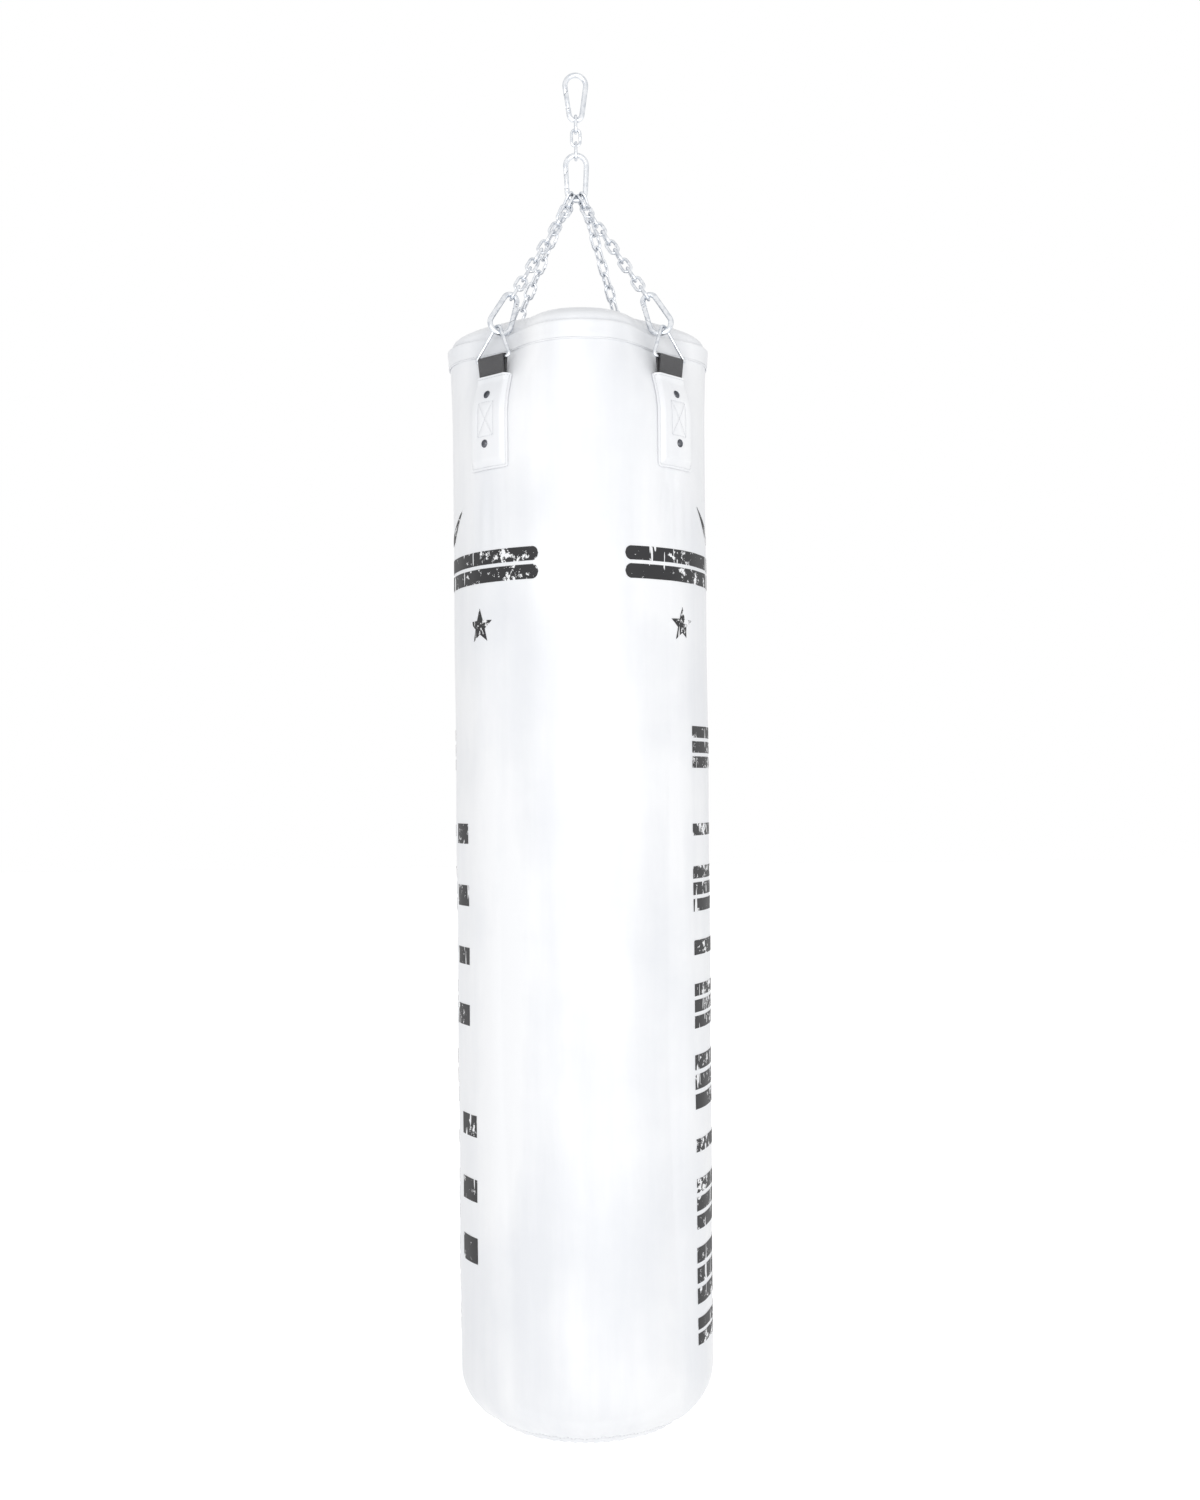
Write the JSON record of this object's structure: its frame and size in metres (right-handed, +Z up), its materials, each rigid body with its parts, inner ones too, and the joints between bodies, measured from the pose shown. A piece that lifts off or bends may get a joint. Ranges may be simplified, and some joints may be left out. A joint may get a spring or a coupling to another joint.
{
  "type": "hanging heavy punching bag",
  "caption": "Long cylindrical white heavy punching bag with puffed zip lid, webbing straps on triangle rings, and a chain sling with snap hooks.",
  "frame": {"origin": "inside top of the uppermost snap hook, where a ceiling ring bears; the bag hangs down along -Z", "axes": "+Z up along the bag's axis; -Y the front of the bag; +X to the right seen from the front; hangers at 45 degrees to X and Y"},
  "size_m": [0.3608, 0.3601, 1.873],
  "materials": {
    "white_vinyl": "soft gloss vinyl, white",
    "black_webbing": "woven, matte",
    "nickel_rivet": "dark nickel plate",
    "steel_pin": "plain steel",
    "zip_tape": "woven tape, white",
    "zip_teeth": "nylon coil",
    "zip_metal": "nickel plate",
    "foam": "foam sheet",
    "packed_textile": "packed rags",
    "zinc_plated_steel": "bright zinc plate"
  },
  "bodies": {
    "top_hook": {"top_hook_body": "zinc_plated_steel", "top_hook_pin": "steel_pin"},
    "top_gate": {"top_hook_gate": "zinc_plated_steel"},
    "link_1": {"link_1": "zinc_plated_steel"},
    "link_2": {"link_2": "zinc_plated_steel"},
    "link_3": {"link_3": "zinc_plated_steel"},
    "lower_gate": {"lower_hook_gate": "zinc_plated_steel"},
    "bag": {"lower_hook_body": "zinc_plated_steel", "lower_hook_pin": "steel_pin", "shell": "white_vinyl", "bottom_panel": "white_vinyl", "rim_hem": "white_vinyl", "lid": "white_vinyl", "zip_tape": "zip_tape", "zip_teeth": "zip_teeth", "foam_lining": "foam", "textile_filling": "packed_textile", "webbing_front_left": "black_webbing", "patch_front_left": "white_vinyl", "rivet_front_left_1": "nickel_rivet", "rivet_front_left_2": "nickel_rivet", "ring_front_left": "zinc_plated_steel", "sling_chain_front_left": "zinc_plated_steel", "strap_hook_front_left_body": "zinc_plated_steel", "strap_hook_front_left_pin": "steel_pin", "webbing_front_right": "black_webbing", "patch_front_right": "white_vinyl", "rivet_front_right_1": "nickel_rivet", "rivet_front_right_2": "nickel_rivet", "ring_front_right": "zinc_plated_steel", "sling_chain_front_right": "zinc_plated_steel", "strap_hook_front_right_body": "zinc_plated_steel", "strap_hook_front_right_pin": "steel_pin", "webbing_back_right": "black_webbing", "patch_back_right": "white_vinyl", "rivet_back_right_1": "nickel_rivet", "rivet_back_right_2": "nickel_rivet", "ring_back_right": "zinc_plated_steel", "sling_chain_back_right": "zinc_plated_steel", "strap_hook_back_right_body": "zinc_plated_steel", "strap_hook_back_right_pin": "steel_pin", "webbing_back_left": "black_webbing", "patch_back_left": "white_vinyl", "rivet_back_left_1": "nickel_rivet", "rivet_back_left_2": "nickel_rivet", "ring_back_left": "zinc_plated_steel", "sling_chain_back_left": "zinc_plated_steel", "strap_hook_back_left_body": "zinc_plated_steel", "strap_hook_back_left_pin": "steel_pin"},
    "zip_slider": {"zip_slider": "zip_metal"},
    "zip_puller": {"zip_puller": "zip_metal"},
    "gate_front_left": {"strap_hook_front_left_gate": "zinc_plated_steel"},
    "gate_front_right": {"strap_hook_front_right_gate": "zinc_plated_steel"},
    "gate_back_right": {"strap_hook_back_right_gate": "zinc_plated_steel"},
    "gate_back_left": {"strap_hook_back_left_gate": "zinc_plated_steel"}
  },
  "joints": [
    {"name": "link_1_swing", "type": "hinge", "parent": "top_hook", "child": "link_1", "pos_m": [0, 0, -0.0595], "axis": [1, 0, 0], "range_deg": [-20, 20]},
    {"name": "link_2_swing", "type": "hinge", "parent": "link_1", "child": "link_2", "pos_m": [0, 0, -0.0767], "axis": [0, 1, 0], "range_deg": [-20, 20]},
    {"name": "link_3_swing", "type": "hinge", "parent": "link_2", "child": "link_3", "pos_m": [0, 0, -0.0954], "axis": [1, 0, 0], "range_deg": [-20, 20]},
    {"name": "bag_swing", "type": "hinge", "parent": "link_3", "child": "bag", "pos_m": [0, 0, -0.1141], "axis": [0, 1, 0], "range_deg": [-20, 20]},
    {"name": "zip_slide", "type": "slide", "parent": "bag", "child": "zip_slider", "axis": [-1, 0, 0], "range_m": [0, 0.136]},
    {"name": "zip_puller_flip", "type": "hinge", "parent": "zip_slider", "child": "zip_puller", "pos_m": [0.073, 0, -0.3434], "axis": [0, 1, 0], "range_deg": [0, 160]},
    {"name": "top_gate_hinge", "type": "hinge", "parent": "top_hook", "child": "top_gate", "pos_m": [-0.01, 0, -0.044], "axis": [0, 1, 0], "range_deg": [0, 24], "stiffness_Nm_per_rad": 0.02, "springref_deg": -17.19},
    {"name": "lower_gate_hinge", "type": "hinge", "parent": "bag", "child": "lower_gate", "pos_m": [-0.01286, 0, -0.1558], "axis": [0, 1, 0], "range_deg": [0, 24], "stiffness_Nm_per_rad": 0.02, "springref_deg": -17.19},
    {"name": "gate_front_left_hinge", "type": "hinge", "parent": "bag", "child": "gate_front_left", "pos_m": [-0.08641, -0.09348, -0.34813], "axis": [-0.3026, 0.9221, -0.2411], "range_deg": [0, 24], "stiffness_Nm_per_rad": 0.02, "springref_deg": -17.19},
    {"name": "gate_front_right_hinge", "type": "hinge", "parent": "bag", "child": "gate_front_right", "pos_m": [0.08641, -0.09348, -0.34813], "axis": [-0.3026, -0.9221, 0.2411], "range_deg": [0, 24], "stiffness_Nm_per_rad": 0.02, "springref_deg": -17.19},
    {"name": "gate_back_right_hinge", "type": "hinge", "parent": "bag", "child": "gate_back_right", "pos_m": [0.06508, 0.1094, -0.34813], "axis": [0.4877, -0.8391, -0.2411], "range_deg": [0, 24], "stiffness_Nm_per_rad": 0.02, "springref_deg": -17.19},
    {"name": "gate_back_left_hinge", "type": "hinge", "parent": "bag", "child": "gate_back_left", "pos_m": [-0.08641, 0.09348, -0.34813], "axis": [0.3026, 0.9221, 0.2411], "range_deg": [0, 24], "stiffness_Nm_per_rad": 0.02, "springref_deg": -17.19}
  ]
}
